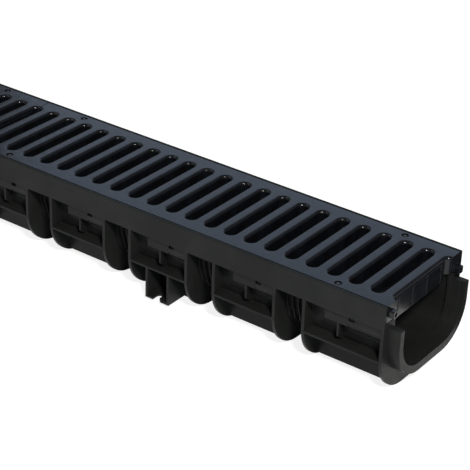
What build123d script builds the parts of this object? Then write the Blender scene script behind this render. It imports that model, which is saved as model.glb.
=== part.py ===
from build123d import *
import os

# All lengths in millimetres. +X runs along the channel to its spigot end and +Z is up.
# X = 0 is the middle of the overall length with the spigot, and the underside is Z = 0.

# flat sides that stand for a full turn on small round things, and for a corner of a thin rib
round_sides = 12
rib_corner_chords = 3

# overall sizes of one channel length
channel_length = 1000.0
overall_width = 130.0
overall_height = 94.0
half_width = overall_width / 2

# how far a cutter runs past the face that it opens, and a joined piece runs into its neighbour
overcut = 1.0

# rail, fascia and the ledge that the gratings rest on
rail_thickness = 2.4
rail_edge = 0.5
fascia_height = 23.7
fascia_bottom = overall_height - fascia_height
grating_height = 17.5
ledge_thickness = 3.0
ledge_top = overall_height - grating_height
ledge_underside = ledge_top - ledge_thickness
rail_inside = half_width - rail_thickness

# repeated cells along the channel: a stiff bay between two flanges, then a waist
cell_pitch = 100.0
cell_count = round(channel_length / cell_pitch)
bay_length = 71.0
bay_offset = 1.2
flange_thickness = 3.0
flange_corner = 40.0

# trough: narrow in the waists, wider inside the bays
wall = 2.5
trough_depth = 70.5
trough_floor = overall_height - trough_depth
waist_half_width = 44.0
waist_corner = 31.0
bay_half_width = 50.0
bay_corner = 25.0
crest_half_width = 49.5
crest_depth = 79.5
crest_floor = overall_height - crest_depth
crest_corner = 37.0
waist_rib_thickness = 1.3
waist_rib_pitch = 6.1
waist_rib_count = 5

# stiffeners of one bay
shelf_depth = 55.6
shelf_level = overall_height - shelf_depth
shelf_thickness = 2.0
keel_half_spacing = 39.0
keel_thickness = 2.4
keel_bottom = 4.5
tab_length = 25.0
tab_setback = 3.0
tab_thickness = 2.2
tab_depth = 35.0
tab_bottom = overall_height - tab_depth
tab_return = 5.5
centre_rib_thickness = 2.0
centre_rib_setback = 4.2
centre_rib_foot = 6.0
cheek_thickness = 2.0
cheek_setback = 1.8
cheek_straight = 6.0
cheek_bend = 2.5
cheek_knee = 12.0
cheek_toe = 4.0
cheek_slope_end = 17.6
cheek_drop = 20.0
cheek_window_length = 6.8
cheek_window_height = 4.5

# anchor boxes that stand in the concrete, each with a slot for an upright rod in its base
anchor_spacing = 500.0
anchor_length = 28.0
anchor_plate = 2.4
anchor_base = 1.9
anchor_bottom = 4.6
rod_slot_width = 5.4
rod_slot_depth = 9.6
rod_slot_offset = 2.2
rod_slot_lead = 3.5

# spigot at the +X end and the socket that takes it at the other end
spigot_length = 13.0
spigot_half_width = 58.3
spigot_depth = 79.5
spigot_floor = overall_height - spigot_depth
spigot_corner = 38.0
spigot_drop = 23.0
spigot_top = overall_height - spigot_drop
spigot_wall = 6.8
bore_half_width = spigot_half_width - spigot_wall
bore_corner = 31.0
seal_depth = 5.5
seal_step = 0.8
ring_half_width = 47.3
ring_corner = 28.0
socket_clearance = 0.4
socket_end_gap = 1.0
socket_depth = spigot_length + socket_end_gap
channel_start = -(channel_length + spigot_length) / 2
channel_end = channel_start + channel_length

# gratings
grating_count = 2
grating_length = channel_length / grating_count
grating_side_gap = 1.0
grating_end_gap = 0.3
grating_half_width = rail_inside - grating_side_gap
slot_divisions = 22
slot_pitch = grating_length / slot_divisions
slot_width = 10.4
slot_half_length = 46.2
slot_flare = 2.8
bar_depth = 25.0
bar_end_clearance = 1.2
bar_hollow_wall = 3.0
bar_hollow_roof = 5.0
margin_roof = 5.0
margin_wall = 2.6
margin_end = 16.0

# lugs at the +X end of each grating and the pockets that take them
lug_length = 6.5
lug_size = 7.0
lug_corner = 1.5
lug_bore = 3.4
lug_bore_depth = 4.0
front_lug_drop = 7.4
front_lug_centre = (-(grating_half_width - lug_size / 2), overall_height - front_lug_drop)
rear_lug_offset = 54.2
rear_lug_drop = 13.4
rear_lug_centre = (rear_lug_offset, overall_height - rear_lug_drop)
pocket_clearance = 0.4

# push-in pins that lock each grating to the ledge
pin_from_end = 54.8
pin_half_spacing = 55.6
pin_shank = 3.6
pin_head = 5.0
pin_head_height = 1.1
pin_head_chamfer = 0.5
pin_recess = 7.0
pin_recess_depth = 1.4
pin_clearance = 0.2
pin_hole = pin_shank + 2 * pin_clearance
pin_reach = 2.5
pin_point = 0.8
pin_pad = 10.0


def u_face(half, floor, top, corner):
    """Upright U outline in the cross section: flat floor, two round lower corners."""
    blank = Pos(0, (floor + top) / 2) * Rectangle(2 * half, top - floor)
    return fillet(blank.vertices().group_by(Axis.Y)[0], corner)


def u_chords(half, floor, top, corner):
    """The same outline with its corners in chords, for the thin ribs and the wall between them."""
    arc = CenterArc((half - corner, floor + corner), corner, 0, -90)
    right = [arc @ (step / rib_corner_chords) for step in range(rib_corner_chords + 1)]
    left = [(-point.X, point.Y) for point in reversed(right)]
    return make_face(Polyline((half, top), *right, *left, (-half, top), close=True))


def along(face, start, end):
    """Cross section carried along the channel from one X to another."""
    return extrude(Plane.YZ.offset(start) * face, end - start)


def block(x0, x1, y0, y1, z0, z1):
    """Plain box between pairs of limits."""
    return Pos((x0 + x1) / 2, (y0 + y1) / 2, (z0 + z1) / 2) * Box(x1 - x0, y1 - y0, z1 - z0)


def rod(x, y, width, z0, z1, taper=0):
    """Upright rod, or its tapered tip, between two heights."""
    return extrude(Pos(x, y, z0) * RegularPolygon(width / 2, round_sides), z1 - z0, taper=taper)


def both_sides(shape):
    """A shape of the front side together with its twin at the rear."""
    return [shape, mirror(shape, Plane.XZ)]


def bay_limits():
    """Start, end and tab centre of every bay; the end bays run out to the ends of the channel."""
    limits = []
    for cell in range(cell_count):
        centre = channel_start + (cell + 0.5) * cell_pitch
        start = channel_start if cell == 0 else centre + bay_offset - bay_length / 2
        end = channel_end if cell == cell_count - 1 else centre + bay_offset + bay_length / 2
        limits.append((start, end, centre))
    return limits


def rails():
    """Plain side bands with a lightly broken top edge, and the ledge inside them."""
    band = Polyline(
        (-half_width, fascia_bottom), (-half_width, overall_height - rail_edge),
        (-half_width + rail_edge, overall_height), (-rail_inside, overall_height),
        (-rail_inside, fascia_bottom), close=True)
    ledge = Pos(0, (ledge_top + ledge_underside) / 2) * Rectangle(2 * rail_inside, ledge_thickness)
    front = along(make_face(band), channel_start, channel_end)
    return both_sides(front) + [along(ledge, channel_start, channel_end)]


def waist_ribs(start, end):
    """Thin ribs that follow the trough between two bays."""
    middle = (start + end) / 2
    outline = u_chords(crest_half_width, crest_floor, ledge_top, crest_corner)
    first = middle - waist_rib_pitch * (waist_rib_count - 1) / 2
    ribs = []
    for number in range(waist_rib_count):
        x = first + number * waist_rib_pitch
        ribs.append(along(outline, x - waist_rib_thickness / 2, x + waist_rib_thickness / 2))
    return ribs


def flange(start):
    """Full width plate that closes one end of a bay."""
    return along(u_face(half_width, 0, ledge_top, flange_corner), start, start + flange_thickness)


def tab(centre):
    """Flat tab under the fascia with a slanted return to the trough wall."""
    face_y = -half_width + tab_setback
    back_y = -bay_half_width
    left = centre - tab_length / 2
    right = centre + tab_length / 2
    plan = Polyline(
        (right, face_y), (left, face_y), (left - tab_return, back_y),
        (left - tab_return + tab_thickness, back_y), (left + tab_thickness / 2, face_y + tab_thickness),
        (right, face_y + tab_thickness), close=True)
    return extrude(Pos(0, 0, tab_bottom) * make_face(plan), ledge_top - tab_bottom)


def cheek(centre, end):
    """Folded skin from the fascia down to the trough wall, beside the tab, with a small window."""
    outside = -half_width + cheek_setback
    inside = outside + cheek_thickness
    meet = -bay_half_width - wall / 2
    low = fascia_bottom
    section = Polyline(
        (outside, low + overcut), (outside, low - cheek_straight), (outside + cheek_bend, low - cheek_knee),
        (meet - cheek_toe, low - cheek_slope_end), (meet, low - cheek_drop),
        (meet, low - cheek_slope_end + cheek_thickness), (inside + cheek_bend, low - cheek_knee + cheek_thickness),
        (inside, low - cheek_straight + cheek_thickness), (inside, low + overcut), close=True)
    start = centre + tab_length / 2
    window = block(start - overcut, start + cheek_window_length, -half_width, -bay_half_width - wall,
                   low - cheek_window_height, low)
    return along(make_face(section), start, end) - window


def centre_rib(centre):
    """Upright rib between the tab and the shelf, with its foot drawn in."""
    outer = -half_width + centre_rib_setback
    back = -bay_half_width
    profile = Polyline(
        (outer, ledge_top), (outer, shelf_level + centre_rib_foot), (outer + centre_rib_foot, shelf_level),
        (back, shelf_level), (back, ledge_top), close=True)
    half = centre_rib_thickness / 2
    return along(make_face(profile), centre - half, centre + half)


def bay(start, end, centre):
    """One bay: two flanges, the wide trough, the shelves, the keels and the parts beside the tab."""
    pieces = [flange(start), flange(end - flange_thickness)]
    belly = u_face(bay_half_width + wall, trough_floor - wall, ledge_top, bay_corner + wall)
    pieces.append(along(belly, start, end))
    pieces.append(block(start, end, -half_width, half_width, shelf_level - shelf_thickness, shelf_level))
    for side in (-1, 1):
        y = side * keel_half_spacing
        pieces.append(block(start, end, y - keel_thickness / 2, y + keel_thickness / 2,
                            keel_bottom, shelf_level))
    for shape in (tab(centre), cheek(centre, end), centre_rib(centre + bay_offset)):
        pieces += both_sides(shape)
    return pieces


def anchor(centre):
    """Open fronted box under the shelf, with a slot for an upright rod in its base."""
    outer = -half_width
    back = -keel_half_spacing
    top = shelf_level - shelf_thickness / 2
    left = centre - anchor_length / 2
    right = centre + anchor_length / 2
    plates = block(left, left + anchor_plate, outer, back, anchor_bottom, top)
    plates += block(right - anchor_plate, right, outer, back, anchor_bottom, top)
    base = block(left, right, outer, back, anchor_bottom, anchor_bottom + anchor_base)
    half = rod_slot_width / 2
    x = centre - rod_slot_offset
    eye_y = outer + rod_slot_depth - half
    mouth = Polyline(
        (x - half, outer - overcut), (x - half, eye_y), (x + half, eye_y), (x + half, outer + rod_slot_lead),
        (x + half + rod_slot_lead, outer), (x + half + rod_slot_lead, outer - overcut), close=True)
    outline = make_face(mouth) + Pos(x, eye_y) * RegularPolygon(half, round_sides)
    slot = extrude(Pos(0, 0, anchor_bottom - overcut) * outline, anchor_base + 2 * overcut)
    return both_sides(plates + (base - slot))


def spigot():
    """Stepped half ring that stands out of the +X end."""
    outline = u_face(spigot_half_width, spigot_floor, spigot_top, spigot_corner)
    return along(outline, channel_end - flange_thickness, channel_end + spigot_length)


def socket_sleeve():
    """Thick sleeve around the socket at the -X end."""
    grown = socket_clearance + wall
    outline = u_face(spigot_half_width + grown, spigot_floor - grown, ledge_top, spigot_corner + grown)
    return along(outline, channel_start, channel_start + socket_depth + wall)


def waterway():
    """Everything that is taken out of the middle for the water, the spigot and the socket."""
    top = overall_height + overcut
    spigot_end = channel_end + spigot_length
    narrow = u_face(waist_half_width, trough_floor, top, waist_corner)
    wide = u_face(bay_half_width, trough_floor, top, bay_corner)
    cuts = [along(narrow, channel_start, channel_end)]
    for start, end, centre in bay_limits():
        first = start + (0 if start == channel_start else flange_thickness)
        cuts.append(along(wide, first, end - flange_thickness))
    ring = u_face(ring_half_width, trough_floor, top, ring_corner)
    cuts.append(along(ring, channel_end - flange_thickness, channel_end))
    bore = u_face(bore_half_width, trough_floor, top, bore_corner)
    cuts.append(along(bore, channel_end, spigot_end))
    mouth = u_face(bore_half_width + seal_step, trough_floor - seal_step, top, bore_corner + seal_step)
    cuts.append(along(mouth, spigot_end - seal_depth, spigot_end))
    over_spigot = Pos(0, (spigot_top + top) / 2) * Rectangle(overall_width, top - spigot_top)
    cuts.append(along(over_spigot, channel_end, spigot_end))
    fit = socket_clearance
    socket = u_face(spigot_half_width + fit, spigot_floor - fit, spigot_top + fit, spigot_corner + fit)
    cuts.append(along(socket, channel_start, channel_start + socket_depth))
    return cuts


def pin_places(centre):
    """The four pins of a grating whose middle is at this X."""
    reach = grating_length / 2 - pin_from_end
    return [(centre + sx * reach, sy * pin_half_spacing) for sx in (-1, 1) for sy in (-1, 1)]


def grating_centres():
    return [channel_start + (number + 0.5) * grating_length for number in range(grating_count)]


def channel_body():
    """The whole moulded channel as one solid."""
    solid = along(u_chords(waist_half_width + wall, trough_floor - wall, ledge_top, waist_corner + wall),
                  channel_start, channel_end)
    pieces = rails()
    limits = bay_limits()
    for start, end, centre in limits:
        pieces += bay(start, end, centre)
    for before, after in zip(limits, limits[1:]):
        pieces += waist_ribs(before[1], after[0])
    middle = (channel_start + channel_end) / 2
    for side in (-1, 1):
        pieces += anchor(middle + bay_offset + side * anchor_spacing / 2)
    pieces += [spigot(), socket_sleeve()]
    solid = solid.fuse(*pieces).clean()
    holes = []
    for middle in grating_centres():
        for x, y in pin_places(middle):
            holes.append(rod(x, y, pin_hole, ledge_underside - overcut, ledge_top + overcut))
    return solid.cut(*waterway(), *holes).clean()


def slot_cut(x):
    """Cutter of one drain slot with round ends and a flared mouth."""
    end = slot_half_length - slot_width / 2
    outline = Rectangle(slot_width, 2 * end)
    for side in (-1, 1):
        outline += Pos(0, side * end) * RegularPolygon(slot_width / 2, round_sides)
    shaft = extrude(Pos(x, 0, overall_height - bar_depth - overcut) * outline, bar_depth + 2 * overcut)
    mouth = extrude(Pos(x, 0, overall_height - slot_flare) * outline, slot_flare, taper=-45)
    return shaft + mouth


def lug(x, centre, grow, length):
    """Square peg with round corners; grown a little it is the pocket for the next peg."""
    side = lug_size + 2 * grow
    square = Rectangle(side, side)
    outline = chamfer(square.vertices(), lug_corner + grow)
    return extrude(Plane.YZ.offset(x) * Pos(*centre) * outline, length)


def grating(centre):
    """One slotted grating, with the half slots at both its ends."""
    left = centre - grating_length / 2 + grating_end_gap
    right = centre + grating_length / 2 - grating_end_gap
    inner = waist_half_width - bar_end_clearance
    body = block(left, right, -grating_half_width, grating_half_width, ledge_top, overall_height)
    body += block(left, right, -inner, inner, overall_height - bar_depth, overall_height)
    body = body.cut(*[slot_cut(centre + (number - slot_divisions / 2) * slot_pitch)
                      for number in range(slot_divisions + 1)])
    cuts = []
    for number in range(slot_divisions):
        x = centre + (number + 0.5 - slot_divisions / 2) * slot_pitch
        half = (slot_pitch - slot_width) / 2 - bar_hollow_wall
        cuts.append(block(x - half, x + half, -inner + bar_hollow_wall, inner - bar_hollow_wall,
                          overall_height - bar_depth, overall_height - bar_hollow_roof))
    wall_out = grating_half_width - margin_wall
    wall_in = slot_half_length + margin_wall
    places = pin_places(centre)
    low_x = min(x for x, y in places)
    high_x = max(x for x, y in places)
    for x0, x1 in ((left + margin_end, low_x - pin_pad / 2), (low_x + pin_pad / 2, centre - margin_wall / 2),
                   (centre + margin_wall / 2, high_x - pin_pad / 2), (high_x + pin_pad / 2, right - margin_end)):
        pocket = block(x0, x1, -wall_out, -wall_in, ledge_top, overall_height - margin_roof)
        cuts += both_sides(pocket)
    for x, y in places:
        cuts.append(rod(x, y, pin_recess, overall_height - pin_recess_depth, overall_height + overcut))
        cuts.append(rod(x, y, pin_hole, ledge_top - overcut, overall_height))
    for place in (front_lug_centre, rear_lug_centre):
        cuts.append(lug(left, place, pocket_clearance, lug_length + pocket_clearance))
    body = body.cut(*cuts)
    for place in (front_lug_centre, rear_lug_centre):
        peg = lug(right - overcut, place, 0, lug_length + overcut)
        bore = Plane.YZ.offset(right + lug_length - lug_bore_depth) * Pos(*place) * RegularPolygon(
            lug_bore / 2, round_sides)
        body += peg - extrude(bore, lug_bore_depth)
    return body.clean()


def locking_pin(x, y):
    """Push-in pin: chamfered head, shank and blunt point."""
    seat = overall_height - pin_recess_depth
    rim = seat + pin_head_height - pin_head_chamfer
    tip = ledge_underside - pin_reach
    head = rod(x, y, pin_head, seat, rim) + rod(x, y, pin_head, rim, rim + pin_head_chamfer, 45)
    point = loft([Pos(x, y, tip) * RegularPolygon(pin_shank / 2 - pin_point, round_sides),
                  Pos(x, y, tip + pin_point) * RegularPolygon(pin_shank / 2, round_sides)], ruled=True)
    return head + rod(x, y, pin_shank, tip + pin_point, seat) + point


def build():
    os.makedirs("parts", exist_ok=True)
    export_step(channel_body(), "parts/channel_body.step")
    number = 0
    for name, centre in zip(("grating_left", "grating_right"), grating_centres()):
        export_step(grating(centre), f"parts/{name}.step")
        for x, y in pin_places(centre):
            number += 1
            export_step(locking_pin(x, y), f"parts/locking_pin_{number}.step")


build()
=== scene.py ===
import bmesh
import bpy
import math
from mathutils import Matrix, Vector


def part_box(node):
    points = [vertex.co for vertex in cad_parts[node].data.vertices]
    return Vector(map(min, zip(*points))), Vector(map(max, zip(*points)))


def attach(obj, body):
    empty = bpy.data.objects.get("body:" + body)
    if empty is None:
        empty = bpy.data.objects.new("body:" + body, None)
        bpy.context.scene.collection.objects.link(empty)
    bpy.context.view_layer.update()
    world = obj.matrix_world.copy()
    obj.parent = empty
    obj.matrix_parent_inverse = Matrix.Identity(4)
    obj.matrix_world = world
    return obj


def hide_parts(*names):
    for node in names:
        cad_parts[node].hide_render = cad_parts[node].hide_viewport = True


# Channel drain: the channel keeps its own solid, the gratings and pins are modelled again with round forms.
# Lengths in the dictionaries are millimetres, unless a note says otherwise.

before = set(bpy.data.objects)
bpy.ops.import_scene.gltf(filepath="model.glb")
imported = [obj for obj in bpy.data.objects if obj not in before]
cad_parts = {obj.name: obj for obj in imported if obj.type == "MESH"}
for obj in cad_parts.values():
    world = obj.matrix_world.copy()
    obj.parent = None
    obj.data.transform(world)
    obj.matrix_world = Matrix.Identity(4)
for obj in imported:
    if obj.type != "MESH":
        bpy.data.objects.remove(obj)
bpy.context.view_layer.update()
mm = 0.001
weld = 0.002 * mm  # points closer than this are merged
slack = 0.01 * mm  # places closer than this count as equal
sharpAngle = 35  # degrees between two faces, from which their edge stays hard
cornerAngle = 60  # degrees, a true corner and not a facet of a curve
print("frame loaded")


def hexColor(text):  # sRGB hex to linear
    values = [int(text[i:i + 2], 16) / 255 for i in (1, 3, 5)]
    return tuple(v / 12.92 if v <= 0.04045 else ((v + 0.055) / 1.055) ** 2.4 for v in values) + (1,)


def addNode(tree, kind, settings=None, inputs=None):
    node = tree.nodes.new("ShaderNode" + kind)
    for name, value in (settings or {}).items():
        setattr(node, name, value)
    for name, value in (inputs or {}).items():
        if isinstance(value, bpy.types.NodeSocket):
            tree.links.new(value, node.inputs[name])
        else:
            node.inputs[name].default_value = value
    return node


def near(a, b, within=slack):
    return abs(a - b) < within


def vertsOf(items):
    return [item for item in items if isinstance(item, bmesh.types.BMVert)]


def edgesAt(parts):  # edges of some points or faces, each one once
    edges = [part.link_edges if isinstance(part, bmesh.types.BMVert) else part.edges for part in parts]
    return list(dict.fromkeys(edge for group in edges for edge in group))


def everything(bm):
    return bm.verts[:] + bm.edges[:] + bm.faces[:]


def cut(bm, parts, place, way, clear=False):
    bmesh.ops.bisect_plane(bm, geom=parts, dist=0.0001 * mm, plane_co=place, plane_no=way, clear_outer=clear)


def roundEdges(bm, edges, width, steps):
    bmesh.ops.bevel(bm, geom=edges, offset=width * mm, affect="EDGES", segments=steps, profile=0.5, material=-1)


def addBox(bm, centre, size):
    made = bmesh.ops.create_cube(bm, size=1)["verts"]
    bmesh.ops.scale(bm, verts=made, vec=size)
    bmesh.ops.translate(bm, verts=made, vec=centre)
    return made


def finishPiece(bm, name, material, node):
    bmesh.ops.remove_doubles(bm, verts=bm.verts, dist=weld)
    bmesh.ops.recalc_face_normals(bm, faces=bm.faces)
    for face in bm.faces:
        face.smooth = True
    for edge in bm.edges:
        edge.smooth = len(edge.link_faces) == 2 and edge.calc_face_angle() < math.radians(sharpAngle)
    mesh = bpy.data.meshes.new(name)
    bm.to_mesh(mesh)
    bm.free()
    mesh.materials.append(material)
    piece = bpy.data.objects.new(name, mesh)
    bpy.context.scene.collection.objects.link(piece)
    weighted = piece.modifiers.new("flatFacesStayFlat", "WEIGHTED_NORMAL")
    weighted.keep_sharp = True
    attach(piece, "root")
    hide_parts(node)
    print(node, len(mesh.polygons), "faces")


# Pattern sizes are real millimetres, apart from the mould grain, really about 0.2 mm, and the dust, about 0.1 mm.
# Both are too fine to show in the render, so they are drawn as coarse as they need to show.
# Shares and roughness run from 0 to 1.
# The pale edge colour in each finish is partly rub wear and partly a painted highlight along the edges.
channelFinish = {  # injection moulded polypropylene, part recycled: dull black, faintly warm, cloudy in tone
    "base": "#191b1a", "cloud": "#202221", "dust": "#5d5b57", "edgeWearAndHighlight": "#333231",
    "cloudSize": 45, "dustSize": 2.2, "dustShare": 0.05, "edgeWearAndHighlightShare": 0.3, "edgeRadius": 0.3,
    "glossSize": 6, "roughLow": 0.32, "roughHigh": 0.46, "ior": 1.46, "specular": 0.1,
    "grainSize": 1.1, "grainDepth": 0.03, "waveSize": 26, "waveDepth": 0.4,
}
gratingFinish = {  # injection moulded polypropylene from a smoother mould: slate black with a cool satin sheen
    "base": "#0c0d10", "cloud": "#111318", "dust": "#62656c", "edgeWearAndHighlight": "#343945",
    "cloudSize": 14, "dustSize": 2.2, "dustShare": 0.03, "edgeWearAndHighlightShare": 0.3, "edgeRadius": 0.4,
    "glossSize": 6, "roughLow": 0.17, "roughHigh": 0.27, "ior": 1.48, "specular": 0.34,
    "grainSize": 1.4, "grainDepth": 0.012, "waveSize": 14, "waveDepth": 0.2,
}
pinFinish = {  # injection moulded nylon: nearly black and glossy, with a bright dot on each round head
    "base": "#0f1010", "cloud": "#161718", "dust": "#4c4c4c", "edgeWearAndHighlight": "#2c2c2c",
    "cloudSize": 4, "dustSize": 1.2, "dustShare": 0.03, "edgeWearAndHighlightShare": 0.3, "edgeRadius": 0.3,
    "glossSize": 2, "roughLow": 0.16, "roughHigh": 0.22, "ior": 1.52, "specular": 0.7,
    "grainSize": 0.5, "grainDepth": 0.01, "waveSize": 3, "waveDepth": 0.04,
}


def mouldedPlastic(name, look):
    material = bpy.data.materials.new(name)
    material.use_nodes = True
    tree = material.node_tree
    shader = tree.nodes["Principled BSDF"]
    place = addNode(tree, "TexCoord").outputs["Object"]
    surface = addNode(tree, "NewGeometry")
    scale = {key: 1 / (look[key + "Size"] * mm) for key in ("cloud", "dust", "gloss", "grain", "wave")}
    # melt that cooled unevenly: faint clouds in the colour
    cloud = addNode(tree, "TexNoise", None, {"Vector": place, "Scale": scale["cloud"], "Detail": 3})
    cloudShare = addNode(tree, "MapRange", None,
                         {"Value": cloud.outputs["Fac"], "From Min": 0.38, "From Max": 0.64})
    clouded = addNode(tree, "Mix", {"data_type": "RGBA"},
                      {0: cloudShare.outputs["Result"], 6: hexColor(look["base"]), 7: hexColor(look["cloud"])})
    # stock dust lies on what faces up
    facing = addNode(tree, "SeparateXYZ", None, {"Vector": surface.outputs["Normal"]})
    lying = addNode(tree, "MapRange", None,
                    {"Value": facing.outputs["Z"], "From Min": 0.2, "From Max": 0.95,
                     "To Min": 0.15, "To Max": 1})
    speckle = addNode(tree, "TexNoise", None,
                      {"Vector": place, "Scale": scale["dust"], "Detail": 6, "Roughness": 0.7})
    fine = addNode(tree, "MapRange", None,
                   {"Value": speckle.outputs["Fac"], "From Min": 0.52, "From Max": 0.7,
                    "To Min": 0, "To Max": look["dustShare"]})
    dustShare = addNode(tree, "Math", {"operation": "MULTIPLY"},
                        {0: fine.outputs["Result"], 1: lying.outputs["Result"]})
    dusty = addNode(tree, "Mix", {"data_type": "RGBA"},
                    {0: dustShare.outputs[0], 6: clouded.outputs[2], 7: hexColor(look["dust"])})
    # edges are a little round, and paler: partly rub wear, partly a painted highlight along every edge
    rounded = addNode(tree, "Bevel", {"samples": 4}, {"Radius": look["edgeRadius"] * mm})
    bend = addNode(tree, "VectorMath", {"operation": "DOT_PRODUCT"},
                   {0: rounded.outputs["Normal"], 1: surface.outputs["Normal"]})
    edgeWearAndHighlightMask = addNode(tree, "MapRange", None,
                     {"Value": bend.outputs["Value"], "From Min": 0.96, "From Max": 0.75,
                      "To Min": 0, "To Max": look["edgeWearAndHighlightShare"]})
    edgeWearAndHighlight = addNode(tree, "Mix", {"data_type": "RGBA"},
                   {0: edgeWearAndHighlightMask.outputs["Result"], 6: dusty.outputs[2], 7: hexColor(look["edgeWearAndHighlight"])})
    tree.links.new(edgeWearAndHighlight.outputs[2], shader.inputs["Base Color"])
    # gloss that changes a little from place to place
    flow = addNode(tree, "TexNoise", None,
                   {"Vector": place, "Scale": scale["gloss"], "Detail": 5, "Roughness": 0.65})
    gloss = addNode(tree, "MapRange", None,
                    {"Value": flow.outputs["Fac"], "From Min": 0.3, "From Max": 0.7,
                     "To Min": look["roughLow"], "To Max": look["roughHigh"]})
    tree.links.new(gloss.outputs["Result"], shader.inputs["Roughness"])
    # satin grain of the mould, and sink waves along the walls
    grain = addNode(tree, "TexNoise", None,
                    {"Vector": place, "Scale": scale["grain"], "Detail": 3, "Roughness": 0.6})
    grainy = addNode(tree, "Bump", None,
                     {"Height": grain.outputs["Fac"], "Strength": 0.5, "Distance": look["grainDepth"] * mm,
                      "Normal": rounded.outputs["Normal"]})
    wave = addNode(tree, "TexNoise", None,
                   {"Vector": place, "Scale": scale["wave"], "Detail": 2, "Roughness": 0.4})
    wavy = addNode(tree, "Bump", None,
                   {"Height": wave.outputs["Fac"], "Strength": 0.6, "Distance": look["waveDepth"] * mm,
                    "Normal": grainy.outputs["Normal"]})
    tree.links.new(wavy.outputs["Normal"], shader.inputs["Normal"])
    shader.inputs["IOR"].default_value = look["ior"]
    shader.inputs["Specular IOR Level"].default_value = look["specular"]
    return material


blackPolypropylene = mouldedPlastic("blackPolypropylene", channelFinish)
slatePolypropylene = mouldedPlastic("slatePolypropylene", gratingFinish)
blackNylon = mouldedPlastic("blackNylon", pinFinish)
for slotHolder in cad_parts["channel_body"].material_slots:
    slotHolder.material = blackPolypropylene
print("materials ready")


grating = {
    "slots": 22, "pitch": 500 / 22, "endGap": 0.3,
    "slotWidth": 10.4, "slotHalfLength": 46.2, "arcSteps": 10,
    "rimRound": 3.3, "rimSteps": 6, "outerRound": 0.5, "outerSteps": 2,
    "plate": 17.5, "barHalf": 42.8, "barWall": 3.0, "barRoof": 5.0,
    # pegs and pockets: place across, and height against the top
    "frontPeg": (-58.1, -7.4), "rearPeg": (54.2, -13.4), "pocketGap": 0.4,
    "pegLength": 6.5, "pegRoot": 1.0, "pegSize": 7.0, "pegRound": 1.2, "pegSteps": 3,
    "pegBore": 4.4, "boreDepth": 5.0, "boreSteps": 20,
    "pinFromEnd": 54.8, "pinSide": 55.6, "pinRecess": 7.0, "pinRecessDepth": 1.4, "pinRecessSteps": 24,
    # shallow panels on the outer faces of the end bars
    "panelEnds": ((-41, -37.2), (-36, -12.6), (-11.4, 11.4), (12.6, 36), (37.2, 41)),
    "panelProud": 0.7, "panelTop": 4.6, "panelFoot": 0.8, "panelRound": 0.3, "panelSteps": 2,
}


def lineTo(bm, start, x, y):
    end = bm.verts.new((x, y, start.co.z))
    bm.edges.new((start, end))
    return end


def arcRound(bm, start, x, y, angle, steps):
    spun = bmesh.ops.spin(bm, geom=[start], cent=(x, y, start.co.z), axis=(0, 0, 1),
                          angle=math.radians(angle), steps=steps)
    return vertsOf(spun["geom_last"])[0]


def pull(bm, faces, height):  # faces drawn up or down, with new walls behind them
    grown = bmesh.ops.extrude_face_region(bm, geom=faces)["geom"]
    bmesh.ops.delete(bm, geom=faces, context="FACES_ONLY")
    bmesh.ops.translate(bm, verts=vertsOf(grown), vec=(0, 0, height))


def gratingCell(size, box):  # one bar with half a slot at either side
    bm = bmesh.new()
    edgeX = size["pitch"] / 2 * mm
    radius = size["slotWidth"] / 2 * mm
    end = size["slotHalfLength"] * mm - radius
    barHalf = size["barHalf"] * mm
    plate = size["plate"] * mm
    top, bottom, half = box["top"], box["bottom"], box["half"]
    first = bm.verts.new((-edgeX, -half, top))
    pen = lineTo(bm, first, edgeX, -half)
    for side in (1, -1):
        pen = lineTo(bm, pen, side * edgeX, -side * (end + radius))
        pen = arcRound(bm, pen, side * edgeX, -side * end, -90, size["arcSteps"])
        pen = lineTo(bm, pen, side * (edgeX - radius), side * end)
        pen = arcRound(bm, pen, side * edgeX, side * end, -90, size["arcSteps"])
        if side == 1:
            pen = lineTo(bm, pen, edgeX, half)
            pen = lineTo(bm, pen, -edgeX, half)
    bm.edges.new((pen, first))
    land = bmesh.ops.contextual_create(bm, geom=bm.edges[:])["faces"][0]
    grown = bmesh.ops.extrude_face_region(bm, geom=[land], use_keep_orig=True)["geom"]
    bmesh.ops.translate(bm, verts=vertsOf(grown), vec=(0, 0, -plate))
    for side in (-1, 1):
        cut(bm, everything(bm), (0, side * barHalf, 0), (0, 1, 0))
    # the bar is deeper than the plate, and hollow from below
    under = [face for face in bm.faces if near(face.calc_center_median().z, top - plate)
             and abs(face.calc_center_median().y) < barHalf]
    pull(bm, under, bottom - (top - plate))
    bmesh.ops.recalc_face_normals(bm, faces=bm.faces)
    under = [face for face in bm.faces if near(face.calc_center_median().z, bottom)]
    bmesh.ops.inset_region(bm, faces=under, thickness=size["barWall"] * mm, depth=0)
    pull(bm, under, top - size["barRoof"] * mm - bottom)
    border = [face for face in bm.faces if near(abs(face.calc_center_median().x), edgeX)]
    bmesh.ops.delete(bm, geom=border, context="FACES_ONLY")
    return bm


def gratingRow(size, box):  # the cells side by side, cut to length at both ends
    bm = gratingCell(size, box)
    cell = everything(bm)
    for number in range(size["slots"]):
        copy = bmesh.ops.duplicate(bm, geom=cell)["geom"]
        place = box["middle"] + (number + 0.5 - size["slots"] / 2) * size["pitch"] * mm
        bmesh.ops.translate(bm, verts=vertsOf(copy), vec=(place, 0, 0))
    bmesh.ops.delete(bm, geom=vertsOf(cell), context="VERTS")
    bmesh.ops.remove_doubles(bm, verts=bm.verts, dist=weld)
    for x, way in ((box["left"], -1), (box["right"], 1)):
        cut(bm, everything(bm), (x, 0, 0), (way, 0, 0), clear=True)
    bmesh.ops.recalc_face_normals(bm, faces=bm.faces)
    return bm


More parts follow.
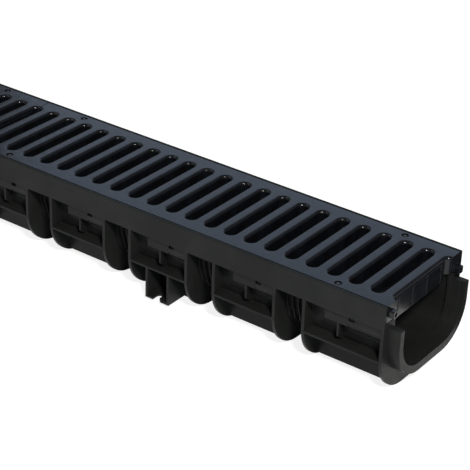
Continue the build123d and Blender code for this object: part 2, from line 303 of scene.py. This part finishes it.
def roundMouths(bm, size, box):  # slot rims well rounded, outer edges just broken
    upper = [edge for edge in bm.edges if len(edge.link_faces) == 2
             and all(near(vert.co.z, box["top"]) for vert in edge.verts)]
    outer = [edge for edge in upper if all(near(abs(vert.co.y), box["half"]) for vert in edge.verts)]
    rims = [edge for edge in upper if edge.calc_face_angle() > math.radians(cornerAngle) and edge not in outer]
    roundEdges(bm, rims, size["rimRound"], size["rimSteps"])
    roundEdges(bm, outer, size["outerRound"], size["outerSteps"])


def roundLoop(bm, x, y, z, width, steps, axis="Z"):
    made = bmesh.ops.create_circle(bm, segments=steps, radius=width / 2)["verts"]
    if axis == "X":
        bmesh.ops.rotate(bm, verts=made, cent=(0, 0, 0), matrix=Matrix.Rotation(math.radians(90), 3, "Y"))
    bmesh.ops.translate(bm, verts=made, vec=(x, y, z))
    return edgesAt(made)


def sinkLoop(bm, loop, vector):
    grown = bmesh.ops.extrude_edge_only(bm, edges=loop)["geom"]
    verts = vertsOf(grown)
    edges = [item for item in grown if isinstance(item, bmesh.types.BMEdge)
             and all(vert in verts for vert in item.verts)]
    bmesh.ops.translate(bm, verts=verts, vec=vector)
    bmesh.ops.edgeloop_fill(bm, edges=edges)


def swapFaceForHole(bm, face, ring, way):  # the face comes back with the ring left open in it
    border = list(face.edges)
    bmesh.ops.delete(bm, geom=[face], context="FACES_ONLY")
    bmesh.ops.triangle_fill(bm, edges=border + ring, use_beauty=True, use_dissolve=False, normal=way)


def pinSeats(bm, size, box):
    reach = (size["slots"] * size["pitch"] / 2 - size["pinFromEnd"]) * mm
    for signX in (-1, 1):
        for signY in (-1, 1):
            x, y = box["middle"] + signX * reach, signY * size["pinSide"] * mm
            lands = [face for face in bm.faces if all(near(vert.co.z, box["top"]) for vert in face.verts)
                     and min(vert.co.x for vert in face.verts) < x < max(vert.co.x for vert in face.verts)
                     and min(vert.co.y for vert in face.verts) < y < max(vert.co.y for vert in face.verts)]
            land = max(lands, key=lambda face: face.calc_area())
            ring = roundLoop(bm, x, y, box["top"], size["pinRecess"] * mm, size["pinRecessSteps"])
            swapFaceForHole(bm, land, ring, (0, 0, 1))
            sinkLoop(bm, ring, (0, 0, -size["pinRecessDepth"] * mm))


def endPanels(bm, size, box):
    foot, head = box["bottom"] + size["panelFoot"] * mm, box["top"] - size["panelTop"] * mm
    barFace = (size["slots"] * size["pitch"] - size["slotWidth"]) / 2 * mm
    for side in (-1, 1):
        for y0, y1 in size["panelEnds"]:
            made = addBox(bm, (box["middle"] + side * barFace, (y0 + y1) / 2 * mm, (foot + head) / 2),
                          (2 * size["panelProud"] * mm, (y1 - y0) * mm, head - foot))
            roundEdges(bm, edgesAt(made), size["panelRound"], size["panelSteps"])


def sidePocket(bm, x, deep, outer, inner, low, high):  # three edges round a pocket that is open at the side
    for place, way in (((x, 0, low), (0, 0, 1)), ((x, 0, high), (0, 0, 1)), ((deep, 0, 0), (1, 0, 0))):
        wall = [face for face in bm.faces if all(near(vert.co.y, outer) for vert in face.verts)
                and min(vert.co.x for vert in face.verts) < deep]
        verts = list(dict.fromkeys(vert for face in wall for vert in face.verts))
        cut(bm, verts + edgesAt(wall) + wall, place, way)
    patch = [face for face in bm.faces
             if all(near(vert.co.y, outer) and low - slack < vert.co.z < high + slack
                    and vert.co.x < deep + slack for vert in face.verts)]
    bmesh.ops.delete(bm, geom=patch, context="FACES")
    corners = [vert for vert in bm.verts if near(vert.co.x, x) and near(vert.co.y, outer)]
    lower = [vert for vert in corners if near(vert.co.z, low)][0]
    upper = [vert for vert in corners if near(vert.co.z, high)][0]
    inside = lineTo(bm, lower, x, inner)
    above = lineTo(bm, upper, x, inner)
    bm.edges.new((inside, above))
    return edgesAt((inside, above))


def closeEnds(bm, size, box):  # both ends closed; the left one has the pockets, the front one open to its side
    left, top = box["left"], box["top"]
    reach = (size["pegSize"] / 2 + size["pocketGap"]) * mm
    deep = (size["pegLength"] + size["pocketGap"]) * mm
    y, drop = size["frontPeg"]
    notch = sidePocket(bm, left, left + deep, -box["half"], y * mm + reach,
                       top + drop * mm - reach, top + drop * mm + reach)
    y, drop = size["rearPeg"]
    made = bmesh.ops.create_grid(bm, x_segments=1, y_segments=1, size=reach)["verts"]
    bmesh.ops.rotate(bm, verts=made, cent=(0, 0, 0), matrix=Matrix.Rotation(math.radians(90), 3, "Y"))
    bmesh.ops.translate(bm, verts=made, vec=(left, y * mm, top + drop * mm))
    hole = edgesAt(made)
    bmesh.ops.delete(bm, geom=[made[0].link_faces[0]], context="FACES_ONLY")
    for x, way in ((left, -1), (box["right"], 1)):
        border = [edge for edge in bm.edges if len(edge.link_faces) < 2
                  and all(near(vert.co.x, x) for vert in edge.verts)]
        for side in (-1, 1):
            loop = [edge for edge in border if edge.verts[0].co.y * side > 0]
            bmesh.ops.triangle_fill(bm, edges=loop, use_beauty=True, use_dissolve=False, normal=(way, 0, 0))
    sinkLoop(bm, hole, (deep, 0, 0))
    grown = bmesh.ops.extrude_edge_only(bm, edges=notch)["geom"]
    bmesh.ops.translate(bm, verts=vertsOf(grown), vec=(deep, 0, 0))
    bmesh.ops.remove_doubles(bm, verts=bm.verts, dist=weld)
    back = [edge for edge in bm.edges if len(edge.link_faces) == 1
            and all(near(vert.co.x, left + deep) for vert in edge.verts)]
    bmesh.ops.edgeloop_fill(bm, edges=back)


def pegs(bm, size, box):  # on the right end, each with its bore
    length = (size["pegLength"] + size["pegRoot"]) * mm
    for y, drop in (size["frontPeg"], size["rearPeg"]):
        faceX = box["right"] + size["pegLength"] * mm
        z = box["top"] + drop * mm
        made = addBox(bm, (faceX - length / 2, y * mm, z), (length, size["pegSize"] * mm, size["pegSize"] * mm))
        corners = [edge for edge in edgesAt(made) if not near(edge.verts[0].co.x, edge.verts[1].co.x)]
        roundEdges(bm, corners, size["pegRound"], size["pegSteps"])
        front = [face for face in bm.faces if near(face.calc_center_median().x, faceX)
                 and near(face.calc_center_median().y, y * mm, mm)][0]
        ring = roundLoop(bm, faceX, y * mm, z, size["pegBore"] * mm, size["boreSteps"], "X")
        swapFaceForHole(bm, front, ring, (1, 0, 0))
        sinkLoop(bm, ring, (-size["boreDepth"] * mm, 0, 0))


def makeGrating(node, size):
    low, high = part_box(node)
    length = (size["slots"] * size["pitch"] - 2 * size["endGap"]) * mm
    box = {"top": high.z, "bottom": low.z, "half": high.y,
           "left": low.x, "right": low.x + length, "middle": low.x + length / 2}
    bm = gratingRow(size, box)
    roundMouths(bm, size, box)
    pinSeats(bm, size, box)
    endPanels(bm, size, box)
    closeEnds(bm, size, box)
    pegs(bm, size, box)
    finishPiece(bm, node + "_moulded", slatePolypropylene, node)


for node in ("grating_left", "grating_right"):
    makeGrating(node, grating)
print("gratings ready")


pin = {
    # round head: radius, and depth under its crown
    "dome": ((0, 0), (0.7, 0.04), (1.3, 0.16), (1.8, 0.36), (2.2, 0.64), (2.45, 0.95), (2.5, 1.1)),
    "shank": 3.6, "point": 0.8, "steps": 28,
}


def makePin(node, size):
    low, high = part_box(node)
    centre = (low + high) / 2
    shank, point = size["shank"] / 2 * mm, size["point"] * mm
    profile = [(radius * mm, high.z - depth * mm) for radius, depth in size["dome"]]
    profile += [(shank, profile[-1][1]), (shank, low.z + point), (shank - point, low.z), (0, low.z)]
    bm = bmesh.new()
    verts = [bm.verts.new((centre.x + radius, centre.y, z)) for radius, z in profile]
    edges = [bm.edges.new(pair) for pair in zip(verts, verts[1:])]
    bmesh.ops.spin(bm, geom=verts + edges, cent=(centre.x, centre.y, 0), axis=(0, 0, 1), angle=math.tau,
                   steps=size["steps"], use_merge=True)
    finishPiece(bm, node + "_turned", blackNylon, node)


for number in range(1, 9):
    makePin(f"locking_pin_{number}", pin)
print("pins ready")


studio = {  # metres, watts
    "floorSize": 14, "wallHeight": 7, "wallSteps": 96, "floorColor": "#a8a8a6", "floorGlow": 0.85,
    "worldColor": "#e6ecf6", "worldStrength": 0.2,
    # painted shadow: colour and height of the dark sheets that stand in for the floor's shadow
    "paintedShadowColor": "#1c1c1c", "paintedShadowHeight": 0.0004,
    # two corners of each painted shadow sheet, seen from above
    "paintedShadowSheets": {"paintedShadowUnder": ((-0.9, -0.04), (0.49, 0.5)), "paintedShadowBehind": ((0.49, 0.08), (0.9, 0.5))},
    "lights": {
        "backCard": {"place": (-0.5, 1.75, 1.2), "aim": (0.2, 0, 0.09), "size": (2.0, 1.2),
                     "power": 7, "color": "#c9defb"},
        "leftLight": {"place": (-1.3, -0.6, 1.9), "aim": (0, 0, 0.06), "size": (1.4, 1.4),
                      "power": 7, "color": "#f6f9ff"},
        "endLight": {"place": (1.55, -1.15, 1.65), "aim": (0.3, 0, 0.09), "size": (0.3, 0.3),
                     "power": 50, "color": "#fffaf4"},
    },
}


def makeLight(name, look):
    data = bpy.data.lights.new(name, "AREA")
    data.shape = "RECTANGLE"
    data.size, data.size_y = look["size"]
    data.energy = look["power"]
    data.color = hexColor(look["color"])[:3]
    light = bpy.data.objects.new(name, data)
    bpy.context.scene.collection.objects.link(light)
    place, aim = Vector(look["place"]), Vector(look["aim"])
    turn = (aim - place).to_track_quat("-Z", "Y").to_matrix().to_4x4()
    light.matrix_world = Matrix.Translation(place) @ turn
    light.visible_camera = False


def plainMaterial(name, color, roughness):
    material = bpy.data.materials.new(name)
    material.use_nodes = True
    shader = material.node_tree.nodes["Principled BSDF"]
    shader.inputs["Base Color"].default_value = hexColor(color)
    shader.inputs["Roughness"].default_value = roughness
    return material, shader


def stagePiece(bm, name, material):
    mesh = bpy.data.meshes.new(name)
    bm.to_mesh(mesh)
    bm.free()
    mesh.materials.append(material)
    piece = bpy.data.objects.new(name, mesh)
    bpy.context.scene.collection.objects.link(piece)
    return piece


for name, look in studio["lights"].items():
    makeLight(name, look)

# white card, matt, that glows a little so that it stays pale
paleCard, cardShader = plainMaterial("paleCard", studio["floorColor"], 0.9)
cardShader.inputs["Specular IOR Level"].default_value = 0.1
cardShader.inputs["Emission Color"].default_value = (1, 1, 1, 1)
cardShader.inputs["Emission Strength"].default_value = studio["floorGlow"]
bm = bmesh.new()
bmesh.ops.create_grid(bm, x_segments=1, y_segments=1, size=studio["floorSize"] / 2)
stagePiece(bm, "floor", paleCard)

# pale wall round the floor, there only for what the camera sees
bm = bmesh.new()
bmesh.ops.create_circle(bm, segments=studio["wallSteps"], radius=studio["floorSize"] / 2)
grown = bmesh.ops.extrude_edge_only(bm, edges=bm.edges[:])["geom"]
bmesh.ops.translate(bm, verts=vertsOf(grown), vec=(0, 0, studio["wallHeight"]))
wall = stagePiece(bm, "wall", paleCard)
wall.visible_diffuse = wall.visible_glossy = wall.visible_shadow = False

# painted shadow: dark sheets on the floor, which the camera doesn't see, stand in for the floor's shadow under
# and behind the channel, so that its shine is kept out of the underside and the shadow side
paintedShadowCard, paintedShadowShader = plainMaterial("paintedShadowCard", studio["paintedShadowColor"], 1)
for name, ((x0, y0), (x1, y1)) in studio["paintedShadowSheets"].items():
    bm = bmesh.new()
    bmesh.ops.create_grid(bm, x_segments=1, y_segments=1, size=0.5)
    bmesh.ops.scale(bm, verts=bm.verts, vec=(x1 - x0, y1 - y0, 1))
    bmesh.ops.translate(bm, verts=bm.verts, vec=((x0 + x1) / 2, (y0 + y1) / 2, studio["paintedShadowHeight"]))
    shadowSheet = stagePiece(bm, name, paintedShadowCard)
    shadowSheet.visible_camera = shadowSheet.visible_shadow = False

world = bpy.data.worlds.new("studioAir")
world.use_nodes = True
air = world.node_tree.nodes["Background"]
air.inputs["Color"].default_value = hexColor(studio["worldColor"])
air.inputs["Strength"].default_value = studio["worldStrength"]
bpy.context.scene.world = world
print("floor and lights ready")


cameraLook = {  # metres and degrees; lens and sensor in millimetres
    "place": (1.0603, -1.0753, 0.7948), "yaw": 125.728, "pitch": -28.891, "roll": 2.035,
    "focal": 122.14, "sensor": 36,
}

camera = bpy.data.objects.new("camera", bpy.data.cameras.new("camera"))
bpy.context.scene.collection.objects.link(camera)
camera.data.lens = cameraLook["focal"]
camera.data.sensor_width = cameraLook["sensor"]
yaw, pitch, roll = (math.radians(cameraLook[key]) for key in ("yaw", "pitch", "roll"))
ahead = Vector((math.cos(pitch) * math.cos(yaw), math.cos(pitch) * math.sin(yaw), math.sin(pitch)))
right = ahead.cross(Vector((0, 0, 1))).normalized()
up = right.cross(ahead)
tiltedRight = right * math.cos(roll) + up * math.sin(roll)
tiltedUp = up * math.cos(roll) - right * math.sin(roll)
turn = Matrix((tiltedRight, tiltedUp, -ahead)).transposed().to_4x4()
camera.matrix_world = Matrix.Translation(cameraLook["place"]) @ turn
bpy.context.scene.camera = camera
bpy.context.scene.view_settings.view_transform = "Standard"
print("camera ready")
